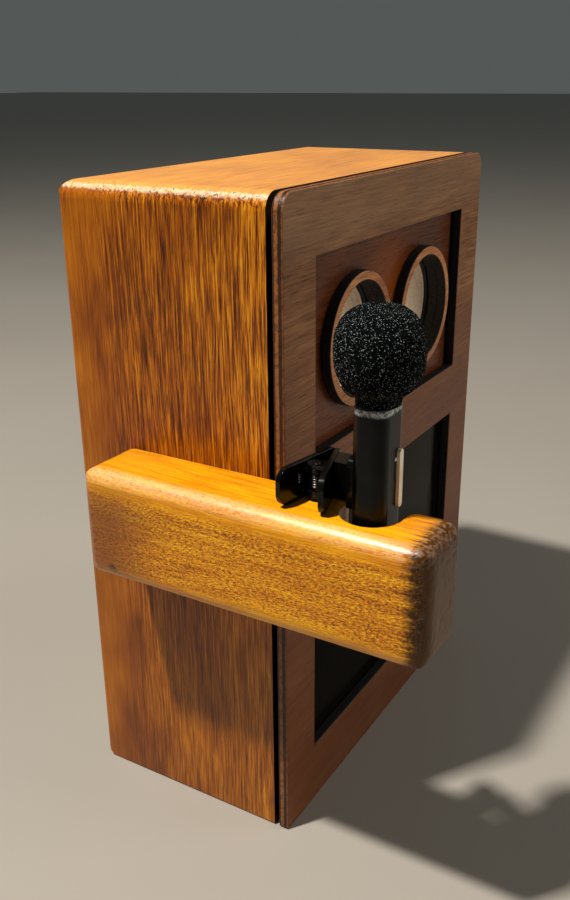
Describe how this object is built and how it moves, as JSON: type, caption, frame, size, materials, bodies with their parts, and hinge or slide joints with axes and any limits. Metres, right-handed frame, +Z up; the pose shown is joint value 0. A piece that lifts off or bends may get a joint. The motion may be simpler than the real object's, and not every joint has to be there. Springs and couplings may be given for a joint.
{
  "type": "tabletop telephone box",
  "caption": "Wooden tabletop telephone cabinet with twin ringed loudspeaker ports, a dark lower window and a side arm holding a clip-on microphone.",
  "frame": {"origin": "centre of the cabinet's underside, on the surface that it stands on", "axes": "+X to the right seen from the front, +Y to the rear, +Z up; the front faces -Y and the arm is on the left, -X"},
  "size_m": [0.195, 0.152, 0.24],
  "materials": {
    "amber_wood": "stained and varnished, semi-gloss",
    "arm_wood": "stained and varnished, gloss",
    "dark_ply": "dark stained plywood, satin, charred cut edges",
    "raw_ply": "plain plywood",
    "dark_acrylic": "gloss",
    "black_steel": "satin",
    "rubber": "matte",
    "paper_cone": "pressed paper, matte",
    "zinc_steel": "zinc plated",
    "black_plastic": "gloss",
    "mic_shell": "satin",
    "red_plastic": "gloss",
    "cell_sleeve": "shrink sleeve",
    "circuit_board": "solder mask",
    "blue_plastic": "satin",
    "red_lead": "matte",
    "black_lead": "matte",
    "capsule_mesh": "woven mesh",
    "cream_plastic": "satin",
    "clear_lens": "clear",
    "foam": "open-cell foam",
    "spring_steel": "dark plated"
  },
  "bodies": {
    "cabinet": {"side_panel_left": "amber_wood", "side_panel_right": "amber_wood", "top_panel": "amber_wood", "bottom_panel": "amber_wood", "front_batten_left": "raw_ply", "front_batten_right": "raw_ply", "rear_batten_left": "raw_ply", "rear_batten_right": "raw_ply", "front_frame": "dark_ply", "speaker_baffle": "dark_ply", "dark_window": "dark_acrylic", "port_ring_left": "dark_ply", "port_ring_right": "dark_ply", "speaker_basket_left": "black_steel", "speaker_basket_right": "black_steel", "speaker_magnet_left": "black_steel", "speaker_magnet_right": "black_steel", "speaker_surround_left": "rubber", "speaker_surround_right": "rubber", "speaker_screws": "zinc_steel", "back_panel": "raw_ply", "back_screws": "zinc_steel", "rocker_housing": "black_plastic", "charge_socket": "black_plastic", "socket_nut": "zinc_steel", "battery_holder": "black_plastic", "battery_cells": "cell_sleeve", "holder_screws": "zinc_steel", "amplifier_board": "circuit_board", "board_standoffs": "zinc_steel", "board_screws": "zinc_steel", "terminal_block": "blue_plastic", "receiver_module": "black_plastic", "speaker_lead_left": "red_lead", "speaker_lead_right": "red_lead", "battery_lead": "black_lead", "power_lead": "black_lead", "arm": "arm_wood", "arm_screws": "zinc_steel"},
    "cone_left": {"speaker_cone_left": "paper_cone"},
    "cone_right": {"speaker_cone_right": "paper_cone"},
    "rocker": {"power_rocker": "red_plastic"},
    "microphone": {"mic_body": "mic_shell", "mic_base_cap": "black_plastic", "mic_battery": "cell_sleeve", "mic_board": "circuit_board", "mic_capsule": "capsule_mesh", "status_light": "clear_lens", "clip_base": "black_plastic", "clip_pin": "spring_steel", "clip_spring": "spring_steel"},
    "record_key": {"record_key": "cream_plastic"},
    "windscreen": {"foam_windscreen": "foam"},
    "clip_lever": {"clip_lever": "black_plastic"}
  },
  "joints": [
    {"name": "cone_left_travel", "type": "slide", "parent": "cabinet", "child": "cone_left", "axis": [0, 1, 0], "range_m": [-0.001, 0.001], "stiffness_N_per_m": 1200},
    {"name": "cone_right_travel", "type": "slide", "parent": "cabinet", "child": "cone_right", "axis": [0, 1, 0], "range_m": [-0.001, 0.001], "stiffness_N_per_m": 1200},
    {"name": "rocker_tilt", "type": "hinge", "parent": "cabinet", "child": "rocker", "pos_m": [0.03, 0.0342, 0.044], "axis": [1, 0, 0], "range_deg": [0, 18]},
    {"name": "microphone_lift", "type": "slide", "parent": "cabinet", "child": "microphone", "axis": [0, 0, 1], "range_m": [0, 0.09]},
    {"name": "windscreen_pull", "type": "slide", "parent": "microphone", "child": "windscreen", "axis": [0, 0, 1], "range_m": [0, 0.02]},
    {"name": "key_press", "type": "slide", "parent": "microphone", "child": "record_key", "axis": [0, 1, 0], "range_m": [0, 0.0006], "stiffness_N_per_m": 500},
    {"name": "clip_squeeze", "type": "hinge", "parent": "microphone", "child": "clip_lever", "pos_m": [-0.0915, -0.0637, 0.1537], "axis": [0, 0, 1], "range_deg": [0, 20], "stiffness_Nm_per_rad": 0.06, "springref_deg": -17.19}
  ]
}
